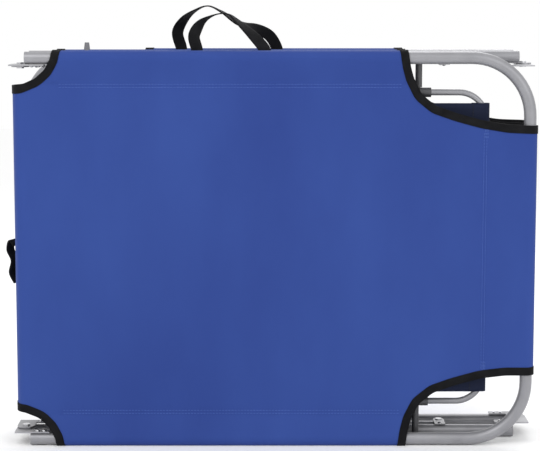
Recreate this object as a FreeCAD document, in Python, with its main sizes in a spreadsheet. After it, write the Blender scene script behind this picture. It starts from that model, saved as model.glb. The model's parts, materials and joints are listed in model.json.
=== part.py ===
import FreeCAD, Part
import os
from FreeCAD import Vector

# Folding beach lounger, folded and standing on its long side edge.
# +X runs along the folded length, +Y through the pack from the head section at the
# front to the foot section at the back, and +Z across the lounger's width.

DIMENSIONS = {
    "lounger_width": 580,
    "frame_radius": 9,
    "tube_wall": 1.2,
    "bend_radius": 85,
    "end_tube_x": 371,
    "rail_end_x": 360,
    "head_depth": -55,
    "middle_depth": -7,
    "foot_depth": 55,
    "middle_leg_depth": 13.5,
    "foot_leg_depth": 34.5,
    "hinge_x": 370,
    "leg_radius": 8,
    "leg_bend": 70,
    "leg_reach": 270,
    "leg_stub": 8,
    "near_leg_x": 250,
    "far_leg_x": -75,
    "foot_leg_x": 20,
    "plate_thickness": 2,
    "plate_gap": 0.5,
    "pin_radius": 3,
    "running_clearance": 0.05,
    "rivet_radius": 4,
    "fabric_thickness": 2,
    "fabric_margin": 24,
    "fabric_hinge_x": 322,
    "neck_x": 215,
    "neck_margin": 92,
    "fabric_end_x": 359,
    "canopy_x": 211,
    "canopy_depth": -31,
    "canopy_inset": 60,
    "canopy_reach": 99,
    "canopy_radius": 4.5,
    "canopy_bend": 40,
    "post_radius": 5,
    "socket_radius": 7,
    "socket_length": 36,
    "strap_width": 20,
    "strap_thickness": 2.5,
    "fold_reach": 15,
    "peg_x": -275,
    "peg_height": 14,
    "peg_radius": 5,
}

doc = FreeCAD.newDocument("BeachLounger")
sheet = doc.addObject("Spreadsheet::Sheet", "sizes")
for row, (name, value) in enumerate(DIMENSIONS.items(), start=1):
    sheet.set("A%d" % row, name)
    sheet.set("B%d" % row, str(value))
    sheet.setAlias("B%d" % row, name)
doc.recompute()

subparts = []
Z_AXIS = Vector(0, 0, 1)
Y_AXIS = Vector(0, 1, 0)


def size(name):
    """The driving dimension of that name."""
    return float(sheet.get(name))


def keep(label, shape):
    """Adds a sub-part whose shape is worked out from the sheet."""
    piece = doc.addObject("Part::Feature", label)
    piece.Label = label
    piece.Shape = shape
    subparts.append(piece)
    return piece


def group(label, shapes):
    """Adds one sub-part made of several separate, identical solids."""
    return keep(label, Part.makeCompound(shapes))


def rail_heights():
    """Centre heights of the lower and the upper rail."""
    radius = size("frame_radius")
    return radius, size("lounger_width") - radius


def mirrored(shape):
    """The same piece on the other side of the lounger."""
    return shape.mirror(Vector(0, 0, size("lounger_width") / 2), Z_AXIS)


def both_sides(shape):
    """A piece near the lower rail and its twin near the upper one."""
    return [shape, mirrored(shape)]


def rod(radius, start, end):
    """A solid round bar between two points."""
    run = end - start
    return Part.makeCylinder(radius, run.Length, start, run)


def slab(x_range, y_range, z_range):
    """A rectangular block between the given limits."""
    corner = Vector(x_range[0], y_range[0], z_range[0])
    return Part.makeBox(
        x_range[1] - x_range[0], y_range[1] - y_range[0], z_range[1] - z_range[0], corner
    )


def swept(path, radius, start, direction):
    """A round bar that follows a path of straight runs and arcs."""
    ring = Part.Wire(Part.Edge(Part.Circle(start, direction, radius)))
    return path.makePipeShell([ring], True, False)


def u_path(open_x, end_x, depth, low, high, bend):
    """Centre line of a U: along the lower rail, round the end and back along the upper."""
    way = 1 if end_x > open_x else -1
    turn_x = end_x - way * bend
    slack = bend * (1 - 0.5 ** 0.5)
    points = [
        Vector(open_x, depth, low),
        Vector(turn_x, depth, low),
        Vector(end_x, depth, low + bend),
        Vector(end_x, depth, high - bend),
        Vector(turn_x, depth, high),
        Vector(open_x, depth, high),
    ]
    lower_mid = Vector(end_x - way * slack, depth, low + slack)
    upper_mid = Vector(end_x - way * slack, depth, high - slack)
    edges = [
        Part.LineSegment(points[0], points[1]),
        Part.Arc(points[1], lower_mid, points[2]),
        Part.LineSegment(points[2], points[3]),
        Part.Arc(points[3], upper_mid, points[4]),
        Part.LineSegment(points[4], points[5]),
    ]
    return Part.Wire([edge.toShape() for edge in edges]), points[0], Vector(way, 0, 0)


def u_tube(open_x, end_x, depth, low, high, bend, radius, wall):
    """A hollow tube bent to a U."""
    path, start, direction = u_path(open_x, end_x, depth, low, high, bend)
    outside = swept(path, radius, start, direction)
    inside = swept(path, radius - wall, start, direction)
    return outside.cut(inside)


def section_frame(label, way, depth):
    """The tube frame of an end section, whose closed end points along way."""
    low, high = rail_heights()
    tube = u_tube(
        -way * size("rail_end_x"), way * size("end_tube_x"), depth, low, high,
        size("bend_radius"), size("frame_radius"), size("tube_wall"),
    )
    keep(label, tube)


def middle_rail(label, height):
    """A straight tube of the middle section, sized by the sheet."""
    outer = doc.addObject("Part::Cylinder", label + "_outer")
    inner = doc.addObject("Part::Cylinder", label + "_inner")
    outer.setExpression("Radius", "sizes.frame_radius")
    inner.setExpression("Radius", "sizes.frame_radius - sizes.tube_wall")
    for cylinder in (outer, inner):
        cylinder.setExpression("Height", "2 * sizes.rail_end_x")
    tube = doc.addObject("Part::Cut", label)
    tube.Label = label
    tube.Base = outer
    tube.Tool = inner
    start = Vector(-size("rail_end_x"), size("middle_depth"), height)
    tube.Placement = FreeCAD.Placement(start, FreeCAD.Rotation(Y_AXIS, 90))
    subparts.append(tube)


def fabric_edge(end_x, has_neck):
    """The lower half of a panel's outline near one end, from the middle outwards."""
    margin = size("fabric_margin")
    if not has_neck:
        return [(end_x, margin)]
    neck = size("neck_margin")
    way = 1 if end_x > 0 else -1
    shoulder = way * size("neck_x")
    halfway = shoulder + (end_x - shoulder) * 0.35
    return [(shoulder, margin), (halfway, margin + (neck - margin) * 0.75), (end_x, neck)]


def fabric_panel(label, depth, left, right):
    """The cloth of one section. Each end is its place in X and whether it narrows to a neck."""
    half = size("fabric_thickness") / 2
    lower = fabric_edge(*left)[::-1] + fabric_edge(*right)
    upper = [(x, size("lounger_width") - z) for x, z in reversed(lower)]
    points = [Vector(x, depth - half, z) for x, z in lower + upper]
    face = Part.Face(Part.makePolygon(points + points[:1]))
    keep(label, face.extrude(Vector(0, 2 * half, 0)))


def ear(x_centre, way, rail_depth, axis_depth, layer):
    """A flat hinge ear inside the lower rail, from the rail's depth to the hinge pin."""
    thickness = size("plate_thickness")
    step = thickness + size("plate_gap")
    bottom = 2 * size("frame_radius") + size("plate_gap") + layer * step
    boss = 13
    length = 38
    lower, upper = sorted((rail_depth, axis_depth))
    arm = slab(
        (x_centre - boss, x_centre + boss), (lower, upper), (bottom, bottom + thickness)
    )
    round_end = Part.makeCylinder(boss, thickness, Vector(x_centre, axis_depth, bottom))
    x_range = sorted((x_centre - way * boss, x_centre + way * length))
    foot = slab(x_range, (rail_depth - 7, rail_depth + 7), (bottom, bottom + thickness))
    plate = arm.fuse([round_end, foot]).removeSplitter()
    hole = size("pin_radius") + (size("running_clearance") if layer == 0 else 0)
    bore = Part.makeCylinder(hole, 4 * thickness, Vector(x_centre, axis_depth, bottom - thickness))
    return plate.cut(bore)


def hinge_pin(x_centre, axis_depth):
    """The headed pin that joins the two ears of a hinge."""
    thickness = size("plate_thickness")
    gap = size("plate_gap")
    bottom = 2 * size("frame_radius") + gap
    height = 2 * thickness + gap
    radius = size("pin_radius")
    shank = Part.makeCylinder(radius, height, Vector(x_centre, axis_depth, bottom))
    head = Part.makeCylinder(radius * 1.8, 2, Vector(x_centre, axis_depth, bottom + height))
    foot = Part.makeCylinder(radius * 1.8, 2, Vector(x_centre, axis_depth, bottom - 2 - gap / 2))
    neck = Part.makeCylinder(radius, gap, Vector(x_centre, axis_depth, bottom - gap))
    return shank.fuse([head, foot, neck]).removeSplitter()


def dome(centre, outward, radius):
    """A domed rivet head that sits on a flat face."""
    ball = Part.makeSphere(radius, centre - outward * radius * 0.45)
    cover = Part.makeCylinder(2 * radius, 2 * radius, centre, outward)
    return ball.common(cover)


def hinge(name, x_centre, way, outer_depth, outer_label):
    """One pair of hinges between the middle section and an end section."""
    middle = size("middle_depth")
    axis_depth = (outer_depth + middle) / 2
    outer_ear = ear(x_centre, way, outer_depth, axis_depth, 0)
    middle_ear = ear(x_centre, way, middle, axis_depth, 1)
    group(outer_label + "_hinge_ears", both_sides(outer_ear))
    group("middle_%s_hinge_ears" % name, both_sides(middle_ear))
    group(name + "_hinge_pins", both_sides(hinge_pin(x_centre, axis_depth)))


def ear_rivets(label, x_centre, way, depth, layer):
    """Two domed rivets on the inner face of each hinge ear."""
    step = size("plate_thickness") + size("plate_gap")
    face = 2 * size("frame_radius") + layer * step + step
    heads = []
    for offset in (20, 30):
        centre = Vector(x_centre + way * offset, depth, face)
        heads += both_sides(dome(centre, Z_AXIS, size("rivet_radius")))
    group(label, heads)


def leg_bracket(x_centre, rail_depth, leg_depth):
    """A plate inside the rail that carries the leg's pivot."""
    thickness = size("plate_thickness")
    bottom = 2 * size("frame_radius") + size("plate_gap")
    lower, upper = sorted((rail_depth, leg_depth))
    plate = slab((x_centre - 8, x_centre + 8), (lower - 7, upper), (bottom, bottom + thickness))
    if leg_depth < rail_depth:
        plate = slab((x_centre - 8, x_centre + 8), (lower, upper + 7), (bottom, bottom + thickness))
    round_end = Part.makeCylinder(8, thickness, Vector(x_centre, leg_depth, bottom))
    plate = plate.fuse(round_end).removeSplitter()
    bore = Part.makeCylinder(size("pin_radius"), 20, Vector(x_centre, leg_depth, bottom - 10))
    return plate.cut(bore)


def leg_pin(x_centre, leg_depth):
    """The pivot pin from the outside of the leg to the bracket."""
    radius = size("pin_radius")
    top = 2 * size("frame_radius") + size("plate_gap") + size("plate_thickness")
    shank = Part.makeCylinder(radius, top - 2, Vector(x_centre, leg_depth, 2))
    head = Part.makeCylinder(radius * 1.7, 1.5, Vector(x_centre, leg_depth, top))
    return shank.fuse(head).removeSplitter()


def leg(name, pivot_x, rail_depth, leg_depth):
    """A U-shaped leg that lies along the section and swings out about its two pins."""
    low = size("frame_radius") + 1
    high = size("lounger_width") - low
    tube = u_tube(
        pivot_x + size("leg_stub"), pivot_x - size("leg_reach"), leg_depth, low, high,
        size("leg_bend"), size("leg_radius"), size("tube_wall"),
    )
    bore = size("pin_radius") + size("running_clearance")
    hole = Part.makeCylinder(bore, 30, Vector(pivot_x, leg_depth, -5))
    for cutter in both_sides(hole):
        tube = tube.cut(cutter)
    keep(name, tube)
    group(name + "_brackets", both_sides(leg_bracket(pivot_x, rail_depth, leg_depth)))
    group(name + "_pins", both_sides(leg_pin(pivot_x, leg_depth)))
    face = 2 * size("frame_radius") + size("plate_gap") + size("plate_thickness")
    head = dome(Vector(pivot_x, rail_depth, face), Z_AXIS, size("rivet_radius"))
    group(name + "_rivets", both_sides(head))


def canopy():
    """The sun canopy: posts on the head frame, sockets, a thin hoop and its cloth."""
    x = size("canopy_x")
    depth = size("canopy_depth")
    low = size("canopy_inset")
    high = size("lounger_width") - low
    rail = rail_heights()[0]
    post_top = low - size("socket_radius") - size("plate_gap")
    branch = rod(size("post_radius"), Vector(x, size("head_depth"), rail), Vector(x, depth, rail))
    core = rod(size("frame_radius"), Vector(x - 40, size("head_depth"), rail),
               Vector(x + 40, size("head_depth"), rail))
    pin = rod(2.5, Vector(x, depth, post_top), Vector(x, depth, low + 4))
    upright = rod(size("post_radius"), Vector(x, depth, rail), Vector(x, depth, post_top))
    post = upright.fuse([branch, pin]).cut(core).removeSplitter()
    group("canopy_posts", both_sides(post))
    half = size("socket_length") / 2
    socket = rod(size("socket_radius"), Vector(x - half, depth, low), Vector(x + half, depth, low))
    pin_hole = rod(2.5 + size("running_clearance"), Vector(x, depth, low - 10),
                   Vector(x, depth, low + 4.5))
    tube_start = x + half - 10
    tube_hole = rod(size("canopy_radius"), Vector(tube_start, depth, low),
                    Vector(x + half + 5, depth, low))
    group("canopy_sockets", both_sides(socket.cut(pin_hole).cut(tube_hole)))
    path, start, direction = u_path(
        tube_start, x + size("canopy_reach"), depth, low, high, size("canopy_bend")
    )
    keep("canopy_hoop", swept(path, size("canopy_radius"), start, direction))
    inset = size("canopy_radius") + 3
    half_cloth = size("fabric_thickness") / 2
    panel = slab(
        (x + half + 1, x + size("canopy_reach") - inset),
        (depth - half_cloth, depth + half_cloth),
        (low + inset, high - inset),
    )
    corner = size("canopy_bend")
    edges = [edge for edge in panel.Edges
             if abs(edge.Vertexes[0].X - edge.Vertexes[-1].X) < 0.01
             and abs(edge.Vertexes[0].Z - edge.Vertexes[-1].Z) < 0.01
             and edge.Vertexes[0].X > x + half + 5]
    keep("canopy_fabric", panel.makeFillet(corner - inset, edges))


def handle(label, depth, left_x, right_x, peak_x):
    """A carrying loop of flat webbing that stands up from the upper rail."""
    base = size("lounger_width") + 0.5
    route = [
        Vector(left_x, 0, base),
        Vector(left_x - 5, 0, base + 30),
        Vector(peak_x - 8, 0, base + 56),
        Vector(peak_x + 12, 0, base + 58),
        Vector((peak_x + right_x) / 2 + 10, 0, base + 40),
        Vector(right_x - 6, 0, base + 24),
        Vector(right_x, 0, base),
    ]
    curve = Part.BSplineCurve()
    curve.interpolate(route)
    inner = Part.BSplineCurve()
    thickness = size("strap_thickness")
    count = 12
    first, last = curve.FirstParameter, curve.LastParameter
    offset_points = []
    for index in range(count + 1):
        value = first + (last - first) * index / count
        tangent = curve.tangent(value)[0]
        normal = tangent.cross(Y_AXIS)
        normal.normalize()
        offset_points.append(curve.value(value) + normal * thickness)
    inner.interpolate(offset_points)
    edges = [
        curve.toShape(),
        Part.LineSegment(route[-1], offset_points[-1]).toShape(),
        inner.toShape(),
        Part.LineSegment(offset_points[0], route[0]).toShape(),
    ]
    face = Part.Face(Part.Wire(Part.__sortEdges__(edges)))
    strap = face.extrude(Vector(0, size("strap_width"), 0))
    strap.translate(Vector(0, depth - size("strap_width") / 2, 0))
    keep(label, strap)


def closing_strap():
    """The folded tail of the strap that holds the pack shut, just outside the head hinge's fold."""
    inner = -size("hinge_x") - size("fold_reach")
    depth = size("middle_depth")
    thickness = size("strap_thickness")
    tail = slab((inner - thickness, inner), (depth - 17, depth + 4), (240, 304))
    keep("closing_strap", tail)


def rail_peg():
    """A tapered plastic peg on the middle section's upper rail."""
    x = size("peg_x")
    depth = size("middle_depth")
    top = size("lounger_width")
    radius = size("peg_radius")
    cone = Part.makeCone(radius, radius * 0.65, size("peg_height"), Vector(x, depth, top - 2))
    rail = rod(size("frame_radius"), Vector(x - 30, depth, rail_heights()[1]),
               Vector(x + 30, depth, rail_heights()[1]))
    keep("rail_peg", cone.cut(rail))


section_frame("head_frame", 1, size("head_depth"))
section_frame("foot_frame", -1, size("foot_depth"))
middle_rail("middle_rail_lower", rail_heights()[0])
middle_rail("middle_rail_upper", rail_heights()[1])
hinge_edge = size("fabric_hinge_x")
end_edge = size("fabric_end_x")
fabric_panel("head_fabric", size("head_depth"), (-hinge_edge, False), (end_edge, True))
fabric_panel("middle_fabric", size("middle_depth"), (-hinge_edge, False), (hinge_edge, True))
fabric_panel("foot_fabric", size("foot_depth"), (-end_edge, True), (hinge_edge, True))
hinge("head", -size("hinge_x"), 1, size("head_depth"), "head")
hinge("foot", size("hinge_x"), -1, size("foot_depth"), "foot")
ear_rivets("head_ear_rivets", -size("hinge_x"), 1, size("head_depth"), 0)
ear_rivets("foot_ear_rivets", size("hinge_x"), -1, size("foot_depth"), 0)
ear_rivets("middle_head_ear_rivets", -size("hinge_x"), 1, size("middle_depth"), 1)
ear_rivets("middle_foot_ear_rivets", size("hinge_x"), -1, size("middle_depth"), 1)
leg("near_leg", size("near_leg_x"), size("middle_depth"), size("middle_leg_depth"))
leg("far_leg", size("far_leg_x"), size("middle_depth"), size("middle_leg_depth"))
leg("foot_leg", size("foot_leg_x"), size("foot_depth"), size("foot_leg_depth"))
canopy()
handle("front_handle", size("head_depth"), -119, -6, -85)
handle("rear_handle", size("foot_depth"), -132, -8, -85)
closing_strap()
rail_peg()

doc.recompute()
for item in doc.Objects:
    if "Invalid" in item.State or "Error" in item.State:
        raise RuntimeError("%s failed: %s" % (item.Label, item.State))
os.makedirs("parts", exist_ok=True)
for piece in subparts:
    if piece.Shape.isNull() or not piece.Shape.isValid():
        raise RuntimeError("%s has no valid shape" % piece.Label)
    piece.Shape.exportStep("parts/%s.step" % piece.Label)
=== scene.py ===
import json
import math

import bmesh
import bpy
import numpy as np
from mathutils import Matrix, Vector


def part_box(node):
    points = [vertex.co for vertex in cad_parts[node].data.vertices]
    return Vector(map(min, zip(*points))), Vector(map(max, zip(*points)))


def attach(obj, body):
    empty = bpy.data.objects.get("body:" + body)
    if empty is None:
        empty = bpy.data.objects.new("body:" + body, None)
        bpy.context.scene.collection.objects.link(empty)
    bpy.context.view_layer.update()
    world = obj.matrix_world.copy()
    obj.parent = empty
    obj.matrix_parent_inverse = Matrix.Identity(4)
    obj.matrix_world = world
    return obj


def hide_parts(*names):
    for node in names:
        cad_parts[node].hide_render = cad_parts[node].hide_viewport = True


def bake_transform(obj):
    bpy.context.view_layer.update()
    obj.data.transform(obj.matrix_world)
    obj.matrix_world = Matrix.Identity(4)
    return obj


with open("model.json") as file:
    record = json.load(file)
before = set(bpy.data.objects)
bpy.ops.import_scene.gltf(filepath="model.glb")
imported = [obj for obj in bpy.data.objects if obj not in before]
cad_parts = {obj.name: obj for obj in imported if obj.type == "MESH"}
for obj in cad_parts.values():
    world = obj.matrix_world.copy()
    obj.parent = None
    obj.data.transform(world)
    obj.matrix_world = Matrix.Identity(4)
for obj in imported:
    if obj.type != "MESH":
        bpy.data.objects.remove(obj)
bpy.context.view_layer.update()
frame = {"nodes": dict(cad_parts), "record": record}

# Folding beach lounger, folded and standing on its long side edge. Metres, +Z across its width.

WIDTH = 0.58
HALF_WIDTH = WIDTH / 2
RAIL_RADIUS = 0.009
SLEEVE_RADIUS = 0.0104
SEAM_INSET = 0.045
CLOTH_THICKNESS = 0.0009
TAPE_THICKNESS = 0.0028
TAPE_WIDTH = 0.011
HEAD_Y, MIDDLE_Y, FOOT_Y = -0.055, -0.007, 0.055
END_TUBE_X = 0.371
HINGE_X = 0.370
END_SEAM_X = 0.308
FOLD_REACH = 0.011
WEBBING_THICKNESS = 0.0018
HANDLE_WIDTH = 0.017
SEWN_BEHIND = 0.0128
CANOPY_CLOTH_THICKNESS = 0.0009
CANOPY_SIDE_GAP = 0.008
CANOPY_HEM = 0.020
FLOOR_HALF = 6
FLOOR_DROP = 0.0005

SEAM_HALF = HALF_WIDTH - SEAM_INSET
RAIL_HALF = HALF_WIDTH - RAIL_RADIUS
SLEEVE_RUN = math.hypot(RAIL_HALF - SEAM_HALF, SLEEVE_RADIUS)
SLEEVE_ARC = math.pi * SLEEVE_RADIUS
FULL_HALF = SEAM_HALF + 2 * SLEEVE_RUN + SLEEVE_ARC

# How far the cloth reaches from its middle line, along the section, at its shaped ends.
NECK = [(0.187, FULL_HALF), (0.191, 0.305), (0.195, 0.274), (0.201, 0.252), (0.213, 0.228),
        (0.234, 0.211), (0.266, 0.200), (0.302, 0.190), (0.340, 0.184), (0.400, 0.182)]
NOTCH = [(0.313, FULL_HALF), (0.317, 0.305), (0.322, 0.280), (0.331, 0.264), (0.346, 0.250),
         (0.370, 0.240)]


# ---------------------------------------------------------------- materials

def new_material(name):
    """A material, its node tree and its main shader."""
    material = bpy.data.materials.new(name)
    material.use_nodes = True
    tree = material.node_tree
    return material, tree, tree.nodes["Principled BSDF"]


def coordinates(tree, scale=(1, 1, 1)):
    """Object coordinates, stretched by scale."""
    source = tree.nodes.new("ShaderNodeTexCoord")
    mapping = tree.nodes.new("ShaderNodeMapping")
    mapping.inputs["Scale"].default_value = scale
    tree.links.new(source.outputs["Object"], mapping.inputs["Vector"])
    return mapping.outputs["Vector"]


def noise(tree, vector, scale, detail=3.0):
    """Noise from 0 to 1 over the given coordinates."""
    node = tree.nodes.new("ShaderNodeTexNoise")
    node.inputs["Scale"].default_value = scale
    node.inputs["Detail"].default_value = detail
    tree.links.new(vector, node.inputs["Vector"])
    return node.outputs["Fac"]


def wave(tree, vector, direction, scale):
    """Parallel ridges along one axis."""
    node = tree.nodes.new("ShaderNodeTexWave")
    node.bands_direction = direction
    node.inputs["Scale"].default_value = scale
    tree.links.new(vector, node.inputs["Vector"])
    return node.outputs["Fac"]


def ramp(tree, value, low, high, start=0.3, end=0.7):
    """A colour ramp between two colours."""
    node = tree.nodes.new("ShaderNodeValToRGB")
    node.color_ramp.elements[0].position = start
    node.color_ramp.elements[1].position = end
    node.color_ramp.elements[0].color = (*low, 1)
    node.color_ramp.elements[1].color = (*high, 1)
    tree.links.new(value, node.inputs["Fac"])
    return node.outputs["Color"]


def arithmetic(tree, kind, first, second):
    """One sum of two values, each a socket or a number."""
    node = tree.nodes.new("ShaderNodeMath")
    node.operation = kind
    for socket, value in zip(node.inputs, (first, second)):
        if isinstance(value, (int, float)):
            socket.default_value = value
        else:
            tree.links.new(value, socket)
    return node.outputs["Value"]


def bump(tree, shader, height, strength, distance):
    """Raises the surface by a height pattern."""
    node = tree.nodes.new("ShaderNodeBump")
    node.inputs["Strength"].default_value = strength
    node.inputs["Distance"].default_value = distance
    tree.links.new(height, node.inputs["Height"])
    tree.links.new(node.outputs["Normal"], shader.inputs["Normal"])


def rough_range(tree, shader, value, low, high):
    """Roughness that follows a pattern between two values."""
    node = tree.nodes.new("ShaderNodeMapRange")
    node.inputs["To Min"].default_value = low
    node.inputs["To Max"].default_value = high
    tree.links.new(value, node.inputs["Value"])
    tree.links.new(node.outputs["Result"], shader.inputs["Roughness"])


def woven_cloth(name, low, high, sheen):
    """Coated polyester cloth with a fine plain weave and soft unevenness."""
    material, tree, shader = new_material(name)
    vector = coordinates(tree)
    shade = noise(tree, coordinates(tree, (3, 3, 1.3)), 2.2, 4)
    fine = noise(tree, vector, 900, 2)
    mixed = arithmetic(tree, "ADD", arithmetic(tree, "MULTIPLY", shade, 0.85),
                       arithmetic(tree, "MULTIPLY", fine, 0.15))
    tree.links.new(ramp(tree, mixed, low, high), shader.inputs["Base Color"])
    weave = arithmetic(tree, "MULTIPLY", wave(tree, vector, "X", 380), wave(tree, vector, "Z", 380))
    crease = noise(tree, coordinates(tree, (9, 2, 1.2)), 3.0, 3)
    height = arithmetic(tree, "ADD", arithmetic(tree, "MULTIPLY", weave, 0.15), crease)
    bump(tree, shader, height, 0.35, 0.0015)
    rough_range(tree, shader, fine, 0.62, 0.8)
    shader.inputs["Sheen Weight"].default_value = sheen
    shader.inputs["Sheen Roughness"].default_value = 0.5
    shader.inputs["Specular IOR Level"].default_value = 0.18
    return material


def webbing_material(name, low, high):
    """Ribbed woven tape."""
    material, tree, shader = new_material(name)
    vector = coordinates(tree)
    ribs = arithmetic(tree, "ADD", wave(tree, vector, "DIAGONAL", 260),
                      arithmetic(tree, "MULTIPLY", noise(tree, vector, 1500, 2), 0.4))
    tree.links.new(ramp(tree, noise(tree, vector, 60), low, high), shader.inputs["Base Color"])
    bump(tree, shader, ribs, 0.5, 0.0004)
    rough_range(tree, shader, ribs, 0.7, 0.95)
    shader.inputs["Sheen Weight"].default_value = 0.02
    shader.inputs["Specular IOR Level"].default_value = 0.15
    return material


def metal_material(name, low, high, metallic, rough, grain, strength):
    """Coated or plated metal with fine grain and slight wear."""
    material, tree, shader = new_material(name)
    vector = coordinates(tree)
    patches = noise(tree, vector, 22, 5)
    tree.links.new(ramp(tree, patches, low, high), shader.inputs["Base Color"])
    texture = noise(tree, vector, grain, 3)
    bump(tree, shader, texture, strength, 0.0003)
    rough_range(tree, shader, texture, rough - 0.07, rough + 0.1)
    shader.inputs["Metallic"].default_value = metallic
    return material


CLOTH = woven_cloth("oxford_cloth", (0.019, 0.045, 0.215), (0.027, 0.062, 0.262), 0.04)
CANOPY_CLOTH = woven_cloth("canopy_cloth", (0.006, 0.010, 0.028), (0.009, 0.014, 0.040), 0.02)
THREAD = webbing_material("blue_thread", (0.055, 0.105, 0.36), (0.08, 0.14, 0.43))
DARK_THREAD = webbing_material("black_thread", (0.02, 0.02, 0.022), (0.05, 0.05, 0.052))
WEBBING = webbing_material("black_webbing", (0.004, 0.004, 0.005), (0.010, 0.010, 0.011))
BINDING = webbing_material("black_binding", (0.003, 0.003, 0.004), (0.008, 0.008, 0.009))
COAT = metal_material("grey_powder_coat", (0.235, 0.235, 0.25), (0.30, 0.30, 0.318), 0.35, 0.34, 1400, 0.35)
ZINC = metal_material("zinc_plate", (0.26, 0.26, 0.275), (0.42, 0.42, 0.44), 0.85, 0.34, 700, 0.3)
RIVET = metal_material("rivet_steel", (0.55, 0.55, 0.57), (0.72, 0.72, 0.74), 1.0, 0.24, 500, 0.15)
# dark_fitting: its near-black colour is painted shade, because the canopy post and sleeve sit in shadow
# between the cloth layers
FITTING_PAINTED_SHADE = metal_material("dark_fitting", (0.045, 0.045, 0.05), (0.085, 0.085, 0.09), 0.2, 0.42, 900, 0.4)
PLASTIC = metal_material("grey_plastic", (0.16, 0.16, 0.17), (0.24, 0.24, 0.25), 0.0, 0.5, 1100, 0.4)

SLOT_MATERIALS = {
    "tube_coat": COAT,
    "zinc_plate": ZINC,
    "rivet_steel": RIVET,
    "dark_fitting": FITTING_PAINTED_SHADE,
    "grey_plastic": PLASTIC,
}


def finish_frame_nodes():
    """Gives every carried-over frame part the material of its record slot."""
    for entry in frame["record"]["subparts"]:
        material = SLOT_MATERIALS.get(entry["material_slot"])
        node = frame["nodes"][entry["node"]]
        if material is not None:
            node.data.materials.clear()
            node.data.materials.append(material)
            node.data.polygons.foreach_set("material_index", [0] * len(node.data.polygons))


# ---------------------------------------------------------------- mesh helpers

def make_object(name, vertices, faces, material, smooth=True):
    """A mesh object with outward faces."""
    mesh = bpy.data.meshes.new(name)
    mesh.from_pydata([tuple(v) for v in vertices], [], faces)
    piece = bpy.data.objects.new(name, mesh)
    bpy.context.collection.objects.link(piece)
    mesh.materials.append(material)
    builder = bmesh.new()
    builder.from_mesh(mesh)
    bmesh.ops.recalc_face_normals(builder, faces=builder.faces)
    builder.to_mesh(mesh)
    builder.free()
    mesh.polygons.foreach_set("use_smooth", [smooth] * len(mesh.polygons))
    return piece


def grid_normals(points):
    """Unit normals of a grid of points."""
    along = np.gradient(points, axis=0)
    across = np.gradient(points, axis=1)
    normals = np.cross(along, across)
    lengths = np.linalg.norm(normals, axis=2, keepdims=True)
    return normals / np.maximum(lengths, 1e-9)


def shell(name, points, thickness, material):
    """A closed thin sheet of the given thickness around a grid of points."""
    rows, columns = points.shape[:2]
    normals = grid_normals(points)
    sides = (points + normals * thickness / 2, points - normals * thickness / 2)
    vertices = np.concatenate([side.reshape(-1, 3) for side in sides])
    count = rows * columns
    faces = []
    for row in range(rows - 1):
        for column in range(columns - 1):
            first = row * columns + column
            quad = (first, first + 1, first + columns + 1, first + columns)
            faces.append(quad)
            faces.append(tuple(count + corner for corner in reversed(quad)))
    rim = list(range(columns))
    rim += [row * columns + columns - 1 for row in range(1, rows)]
    rim += [(rows - 1) * columns + column for column in range(columns - 2, -1, -1)]
    rim += [row * columns for row in range(rows - 2, 0, -1)]
    for here, there in zip(rim, rim[1:] + rim[:1]):
        faces.append((here, here + count, there + count, there))
    return make_object(name, vertices, faces, material)


def resample(points, step):
    """Evenly spaced points along a polyline."""
    points = np.asarray(points, float)
    lengths = np.linalg.norm(np.diff(points, axis=0), axis=1)
    travel = np.concatenate([[0], np.cumsum(lengths)])
    wanted = np.linspace(0, travel[-1], max(3, int(travel[-1] / step) + 1))
    return np.stack([np.interp(wanted, travel, points[:, k]) for k in range(points.shape[1])], 1)


def smooth_curve(points, count):
    """A Catmull-Rom curve through a few points."""
    points = np.asarray(points, float)
    padded = np.vstack([2 * points[0] - points[1], points, 2 * points[-1] - points[-2]])
    result = []
    for value in np.linspace(0, len(points) - 1 - 1e-6, count):
        index = int(value)
        t = value - index
        a, b, c, d = padded[index:index + 4]
        result.append(0.5 * (2 * b + (c - a) * t + (2 * a - 5 * b + 4 * c - d) * t ** 2
                             + (3 * b - a - 3 * c + d) * t ** 3))
    return np.array(result)


# ---------------------------------------------------------------- the stretched cloth

def arc_2d(centre, radii, start, end, count):
    """Points of an ellipse's arc in plan, angles in degrees."""
    angles = np.radians(np.linspace(start, end, count))
    return [(centre[0] + radii[0] * math.cos(a), centre[1] + radii[1] * math.sin(a))
            for a in angles]


def half_reach(x, notch_way, neck_ways):
    """How far the cloth reaches from its middle line at x, with its notch and necks."""
    reach = float(np.interp(x * notch_way, *zip(*NOTCH)))
    for way in neck_ways:
        reach = min(reach, float(np.interp(x * way, *zip(*NECK))))
    return reach


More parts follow.
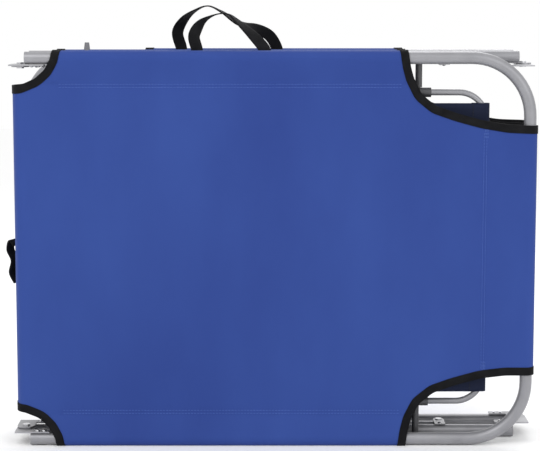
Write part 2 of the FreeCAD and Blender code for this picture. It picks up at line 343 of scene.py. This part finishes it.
class Cloth:
    """A cloth laid along a path in plan and wrapped round the two rails in section."""

    def __init__(self, route):
        """route is a list of (x, y, half reach)."""
        self.route = resample(route, 0.0035)
        window = np.hanning(7) / np.hanning(7).sum()
        reach = np.pad(self.route[:, 2], 3, mode="edge")
        self.reach = np.convolve(reach, window, mode="valid")
        tangent = np.gradient(self.route[:, :2], axis=0)
        tangent /= np.linalg.norm(tangent, axis=1, keepdims=True)
        self.normal = np.stack([-tangent[:, 1], tangent[:, 0]], 1)
        steps = np.linalg.norm(np.diff(self.route[:, :2], axis=0), axis=1)
        self.travel = np.concatenate([[0], np.cumsum(steps)])
        self.length = self.travel[-1]

    def area(self):
        """Flat area of the cut."""
        return float(np.sum((self.reach[1:] + self.reach[:-1]) * np.diff(self.travel)))

    def section(self, reach):
        """Offset along the normal and height of a point at that reach from the middle line."""
        side = np.sign(reach)
        away = np.abs(reach)
        run = np.clip((away - SEAM_HALF) / SLEEVE_RUN, 0, 1)
        turn = np.clip((away - SEAM_HALF - SLEEVE_RUN) / SLEEVE_ARC, 0, 1) * math.pi
        back = np.clip((away - SEAM_HALF - SLEEVE_RUN - SLEEVE_ARC) / SLEEVE_RUN, 0, 1)
        height = np.minimum(away, SEAM_HALF) + (RAIL_HALF - SEAM_HALF) * (run - back)
        height = height + SLEEVE_RADIUS * np.sin(turn)
        offset = SLEEVE_RADIUS * (run * np.cos(turn) + back)
        offset = np.where(back > 0, -SLEEVE_RADIUS * (1 - back) - 0.0012, offset)
        return offset, HALF_WIDTH + side * height

    def point(self, travel, reach, lift=0.0):
        """A point in space at a travel along the path and a reach across it."""
        x = np.interp(travel, self.travel, self.route[:, 0])
        y = np.interp(travel, self.travel, self.route[:, 1])
        nx = np.interp(travel, self.travel, self.normal[:, 0])
        ny = np.interp(travel, self.travel, self.normal[:, 1])
        offset, z = self.section(reach)
        calm = np.clip((SEAM_HALF - np.abs(reach)) / 0.05, 0, 1)
        ripple = 0.0010 * np.sin(x * 31 + 1.3 * np.sin(z * 9)) + 0.0007 * np.sin(x * 67 + z * 5)
        offset = offset + lift + calm * ripple * np.clip((0.30 - np.abs(x)) / 0.05, 0, 1)
        return np.stack([x + nx * offset, y + ny * offset, z], -1)

    def mesh(self, name, columns=150):
        """The cloth as one continuous thin sheet."""
        across = np.linspace(-1, 1, columns)
        travel = np.repeat(self.travel[:, None], columns, 1)
        reach = self.reach[:, None] * across[None, :]
        return shell(name, self.point(travel, reach), CLOTH_THICKNESS, CLOTH)

    def edge_runs(self, side):
        """Stretches of the cloth's edge that aren't inside a sleeve, as (travel, reach)."""
        free = self.reach < FULL_HALF - 0.003
        runs, current = [], []
        for index, is_free in enumerate(free):
            if is_free:
                current.append((self.travel[index], side * self.reach[index]))
            elif current:
                runs.append(current)
                current = []
        if current:
            runs.append(current)
        return [np.array(run) for run in runs if len(run) > 4]

    def binding(self, name):
        """Black tape folded over every free edge."""
        pieces = []
        for side in (-1, 1):
            for run in self.edge_runs(side):
                run = resample(run, 0.003)
                tangent = np.gradient(run, axis=0)
                tangent /= np.linalg.norm(tangent, axis=1, keepdims=True)
                inward = np.stack([-tangent[:, 1], tangent[:, 0]], 1)
                inward *= -np.sign(inward[:, 1] * side)[:, None]
                rows = [run + inward * width for width in np.linspace(-0.0008, TAPE_WIDTH, 5)]
                plan = np.stack(rows, 1)
                points = self.point(plan[..., 0], plan[..., 1])
                pieces.append(shell(name, points, TAPE_THICKNESS, BINDING))
        return join(pieces, name)


def join(pieces, name):
    """Joins meshes into one object."""
    bpy.ops.object.select_all(action="DESELECT")
    for piece in pieces:
        piece.select_set(True)
    bpy.context.view_layer.objects.active = pieces[0]
    if len(pieces) > 1:
        bpy.ops.object.join()
    pieces[0].name = name
    return pieces[0]


def stitch_rows(name, rows, material, length=0.0032, gap=0.0014, width=0.0008, height=0.0007):
    """Rows of raised stitches. Each row is (points, outward direction)."""
    vertices, faces = [], []
    for points, outward in rows:
        points = resample(points, 0.001)
        steps = np.linalg.norm(np.diff(points, axis=0), axis=1)
        travel = np.concatenate([[0], np.cumsum(steps)])
        outward = np.asarray(outward, float)
        for start in np.arange(0, travel[-1] - length, length + gap):
            ends = [np.array([np.interp(value, travel, points[:, k]) for k in range(3)])
                    for value in (start, start + length)]
            direction = (ends[1] - ends[0]) / np.linalg.norm(ends[1] - ends[0])
            across = np.cross(direction, outward) * width / 2
            first = len(vertices)
            middle = (ends[0] + ends[1]) / 2 + outward * height
            inset = direction * length * 0.2
            vertices += [ends[0] - across, ends[0] + across, ends[1] + across, ends[1] - across,
                         middle - inset - across * 0.6, middle - inset + across * 0.6,
                         middle + inset + across * 0.6, middle + inset - across * 0.6]
            faces += [tuple(first + k for k in quad) for quad in
                      ((0, 1, 2, 3), (4, 5, 6, 7), (0, 1, 5, 4), (1, 2, 6, 5), (2, 3, 7, 6), (3, 0, 4, 7))]
    return make_object(name, vertices, faces, material, smooth=False)


def end_sleeve(way, depth, back):
    """Plan of the cloth from the seam on one side, round the end tube, to the seam on the other."""
    start, end = (90, -90) if way > 0 else (-90, -270)
    plan = [(way * END_SEAM_X, depth + back * 0.0012)]
    plan += arc_2d((way * END_TUBE_X, depth), (SLEEVE_RADIUS, SLEEVE_RADIUS), start, end, 13)
    plan += [(way * END_SEAM_X, depth)]
    return plan


def with_reach(plan, notch_way, neck_ways):
    """Adds to each point of a plan how far the cloth reaches there."""
    return [(x, y, half_reach(x, notch_way, neck_ways)) for x, y in resample(plan, 0.002)]


def fold_turn(way, first_y, second_y):
    """Plan of the loose turn of cloth outside a hinge."""
    centre = (way * HINGE_X, (first_y + second_y) / 2)
    radii = (FOLD_REACH, abs(second_y - first_y) / 2)
    return arc_2d(centre, radii, -90, way * 180 - 90, 15)


def head_and_middle_cloth():
    """The cloth of the head and middle sections, with the turn that joins them."""
    turn = fold_turn(-1, HEAD_Y, MIDDLE_Y)
    route = with_reach(end_sleeve(1, HEAD_Y, 1) + turn[:1], -1, (1,))
    route += [(x, y, NOTCH[-1][1]) for x, y in turn[1:-1]]
    return Cloth(route + with_reach([turn[-1], (HINGE_X - 0.004, MIDDLE_Y)], -1, (1,)))


def foot_cloth():
    """The cloth of the foot section, with the turn that joins it to the middle section."""
    turn = fold_turn(1, MIDDLE_Y, FOOT_Y)
    reach = half_reach(HINGE_X, 0, (1,))
    route = [(x, y, reach) for x, y in [(HINGE_X - 0.003, MIDDLE_Y)] + turn[:-1]]
    sleeve = end_sleeve(-1, FOOT_Y, -1)
    return Cloth(route + with_reach([turn[-1]] + sleeve[::-1], 0, (1, -1)))


def seam_lines(cloth, sections, lift):
    """Double seams along each sleeve, as rows of points on one side of the cloth."""
    rows = []
    for start, end, outward in sections:
        travel = np.linspace(start, end, 200)
        for side in (-1, 1):
            for inset in (0.002, 0.0065):
                reach = np.full_like(travel, side * (SEAM_HALF - inset))
                rows.append((cloth.point(travel, reach, lift), outward))
    return rows


def travel_at(cloth, x, depth):
    """The travel where the path passes x on a layer."""
    gap = np.abs(cloth.route[:, 0] - x) + 20 * np.abs(cloth.route[:, 1] - depth)
    return cloth.travel[int(np.argmin(gap))]


def hem_rows(cloth, x, depth, lift, outward):
    """The seam that closes the end sleeve, and its bar tacks."""
    travel = travel_at(cloth, x, depth)
    reach = np.linspace(-0.176, 0.176, 120)
    rows = [(cloth.point(np.full_like(reach, travel + shift), reach, lift), outward)
            for shift in (-0.001, 0.003)]
    for side in (-1, 1):
        tack = np.linspace(0.165, 0.181, 12) * side
        for shift in (-0.003, -0.0015, 0.0, 0.0015):
            rows.append((cloth.point(np.full_like(tack, travel + shift), tack, lift), outward))
    return rows


def build_cloth():
    """All stretched cloth, its binding and its seams."""
    half_cloth = CLOTH_THICKNESS / 2
    first = head_and_middle_cloth()
    sheet = first.mesh("head_middle_cloth")
    tape = first.binding("head_middle_binding")
    head_run = (travel_at(first, 0.184, HEAD_Y), travel_at(first, -0.315, HEAD_Y))
    outward = (0, np.sign(first.normal[len(first.normal) // 4, 1]), 0)
    rows = seam_lines(first, [(*head_run, outward)], half_cloth)
    rows += hem_rows(first, END_SEAM_X, HEAD_Y, half_cloth, outward)
    seams = stitch_rows("head_seams", rows, THREAD)
    for piece in (sheet, tape):
        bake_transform(piece)
    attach(seams, "head_section")
    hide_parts("head_fabric", "middle_fabric")
    first.area()

    second = foot_cloth()
    back_sheet = second.mesh("foot_cloth")
    back_tape = second.binding("foot_binding")
    foot_run = (travel_at(second, 0.184, FOOT_Y), travel_at(second, -0.184, FOOT_Y))
    backward = (0, np.sign(second.normal[len(second.normal) // 2, 1]), 0)
    rows = seam_lines(second, [(*foot_run, backward)], half_cloth)
    rows += hem_rows(second, -END_SEAM_X, FOOT_Y, half_cloth, backward)
    back_seams = stitch_rows("foot_seams", rows, THREAD)
    for piece in (back_sheet, back_tape):
        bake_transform(piece)
    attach(back_seams, "foot_section")
    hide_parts("foot_fabric")
    second.area()


# ---------------------------------------------------------------- webbing

def ribbon(name, route, angles, width, thickness, material):
    """Flat webbing along a route, whose width turns from X towards Y by the given angles."""
    points = smooth_curve(route, 90)
    turns = np.radians(smooth_curve([[angle] for angle in angles], 90)[:, 0])
    direction = np.stack([np.cos(turns), np.sin(turns), np.zeros_like(turns)], 1)
    tangent = np.gradient(points, axis=0)
    tangent /= np.linalg.norm(tangent, axis=1, keepdims=True)
    direction -= tangent * np.sum(direction * tangent, axis=1, keepdims=True)
    direction /= np.linalg.norm(direction, axis=1, keepdims=True)
    across = np.linspace(-0.5, 0.5, 7)
    grid = points[:, None, :] + direction[:, None, :] * across[None, :, None] * width
    return shell(name, grid, thickness, material)


def build_handle(name, route, angles, body, node):
    """A carrying handle: one twisted loop of webbing sewn behind the sleeve of the upper rail."""
    piece = ribbon(name, route, angles, HANDLE_WIDTH, WEBBING_THICKNESS, WEBBING)
    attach(piece, body)
    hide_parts(node)


def build_handles():
    """The two carrying handles, which lean together and cross."""
    sewn_front = HEAD_Y + SEWN_BEHIND
    front = [(-0.112, sewn_front, 0.570), (-0.112, sewn_front, 0.583), (-0.116, -0.039, 0.603),
             (-0.104, -0.032, 0.622), (-0.084, -0.026, 0.633), (-0.066, -0.022, 0.633),
             (-0.052, -0.026, 0.622), (-0.030, -0.034, 0.602), (-0.014, sewn_front, 0.583),
             (-0.013, sewn_front, 0.570)]
    build_handle("front_carry_handle", front, (0, 0, 15, 55, 88, 88, 60, 20, 0, 0),
                 "head_section", "front_handle")
    sewn_rear = FOOT_Y - SEWN_BEHIND
    rear = [(-0.139, sewn_rear, 0.570), (-0.139, sewn_rear, 0.583), (-0.144, 0.036, 0.606),
            (-0.132, 0.022, 0.627), (-0.114, 0.006, 0.640), (-0.096, -0.004, 0.645),
            (-0.078, -0.004, 0.637), (-0.054, 0.010, 0.621), (-0.030, 0.020, 0.612),
            (-0.008, 0.032, 0.602), (0.004, sewn_rear, 0.583), (0.004, sewn_rear, 0.570)]
    build_handle("rear_carry_handle", rear, (0, 0, 10, 40, 78, 88, 80, 60, 35, 12, 0, 0),
                 "foot_section", "rear_handle")


def build_closing_strap():
    """The loose folded tail of the closing strap, which stands out past the fold of cloth."""
    low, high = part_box("closing_strap")
    x = high[0]
    depth = (low[1] + high[1]) / 2
    route = [(x + 0.003, depth, low[2] - 0.004), (x - 0.004, depth, low[2] + 0.012),
             (x - 0.001, depth, low[2] + 0.030), (x - 0.007, depth, low[2] + 0.046),
             (x - 0.004, depth, high[2] - 0.004), (x + 0.003, depth, high[2] - 0.012)]
    points = smooth_curve(route, 48)
    across = np.linspace(-0.5, 0.5, 7) * (high[1] - low[1])
    direction = np.array([0.35, 0.93, 0.0])
    grid = points[:, None, :] + direction[None, None, :] * across[None, :, None]
    piece = shell("closing_webbing", grid, WEBBING_THICKNESS, WEBBING)
    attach(piece, "middle_section")
    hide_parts("closing_strap")


# ---------------------------------------------------------------- the canopy

def build_canopy():
    """The canopy's cloth, sleeved over the hoop, with a hem and a slight sag."""
    low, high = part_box("canopy_fabric")
    hoop_low, hoop_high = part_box("canopy_hoop")
    y = (low[1] + high[1]) / 2
    radius = (hoop_high[1] - hoop_low[1]) / 2 + 0.0008
    bar_x = hoop_high[0] - radius
    span = np.linspace(low[2] + CANOPY_SIDE_GAP, high[2] - CANOPY_SIDE_GAP, 60)
    plan = [(low[0], y - radius), (bar_x - CANOPY_HEM, y - radius - 0.0005)]
    plan += arc_2d((bar_x, y), (radius, radius), -90, 90, 13)
    plan += [(bar_x - CANOPY_HEM, y + radius)]
    plan = resample(plan, 0.002)
    centre = (span[0] + span[-1]) / 2
    half = (span[-1] - span[0]) / 2
    grid = []
    for x, depth in plan:
        row = []
        for z in span:
            share = (z - centre) / half
            inside = np.clip((bar_x - 0.012 - x) / 0.05, 0, 1)
            sag = 0.004 * (1 - share ** 2) * inside + 0.0008 * math.sin(share * 14 + x * 50) * inside
            row.append((x, depth + sag, z))
        grid.append(row)
    grid = np.array(grid)
    sheet = shell("canopy_sheet", grid, CANOPY_CLOTH_THICKNESS, CANOPY_CLOTH)
    hem_line = grid[3] + np.array([0, -0.0006, 0])
    bar_seam = np.array([(bar_x - 0.019, y - radius - 0.0012, z) for z in span])
    seams = stitch_rows("canopy_seams", [(hem_line, (0, -1, 0)), (bar_seam, (0, -1, 0))], DARK_THREAD)
    for piece in (sheet, seams):
        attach(piece, "canopy")
    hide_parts("canopy_fabric")


# ---------------------------------------------------------------- stage

def build_stage():
    """Pale floor, white surroundings and soft lights."""
    corners = [(x * FLOOR_HALF, y * FLOOR_HALF, -FLOOR_DROP)
               for x, y in ((-1, -1), (1, -1), (1, 1), (-1, 1))]
    floor = make_object("floor", corners, [(0, 1, 2, 3)], floor_material(), smooth=False)
    world = bpy.data.worlds.new("studio")
    world.use_nodes = True
    world.node_tree.nodes["Background"].inputs["Color"].default_value = (1, 1, 1, 1)
    world.node_tree.nodes["Background"].inputs["Strength"].default_value = 1.0
    bpy.context.scene.world = world
    bpy.context.scene.view_settings.view_transform = "Standard"
    area_light("key", (-0.9, -1.9, 2.0), 18, 1.6)
    area_light("fill", (1.4, -1.6, 1.2), 9, 1.5)
    area_light("rim", (0.3, 1.6, 1.8), 14, 1.2)


def floor_material():
    """A plain pale floor."""
    material, _, shader = new_material("pale_floor")
    shader.inputs["Base Color"].default_value = (0.97, 0.97, 0.97, 1)
    shader.inputs["Roughness"].default_value = 0.9
    return material


def area_light(name, place, power, extent):
    """A square soft light aimed at the lounger's middle."""
    data = bpy.data.lights.new(name, "AREA")
    data.energy = power
    data.size = extent
    light = bpy.data.objects.new(name, data)
    bpy.context.collection.objects.link(light)
    light.location = place
    aim = Vector((0, 0, HALF_WIDTH)) - Vector(place)
    light.rotation_euler = aim.to_track_quat("-Z", "Y").to_euler()


def build_camera():
    """Camera just above the upper edge, looking slightly down at the pack's front."""
    view_width = 0.778
    distance = 2.4
    height = 0.655
    centre_height = 0.329
    shift = -0.06
    pitch = math.atan((height - centre_height + shift * view_width) / distance)
    data = bpy.data.cameras.new("camera")
    data.lens = data.sensor_width * distance / view_width
    data.shift_y = shift
    camera = bpy.data.objects.new("camera", data)
    bpy.context.collection.objects.link(camera)
    camera.location = (-0.006, HEAD_Y - RAIL_RADIUS - distance, height)
    camera.rotation_euler = (math.pi / 2 - pitch, 0, 0)
    bpy.context.scene.camera = camera


finish_frame_nodes()
build_cloth()
build_handles()
build_closing_strap()
build_canopy()
build_stage()
build_camera()
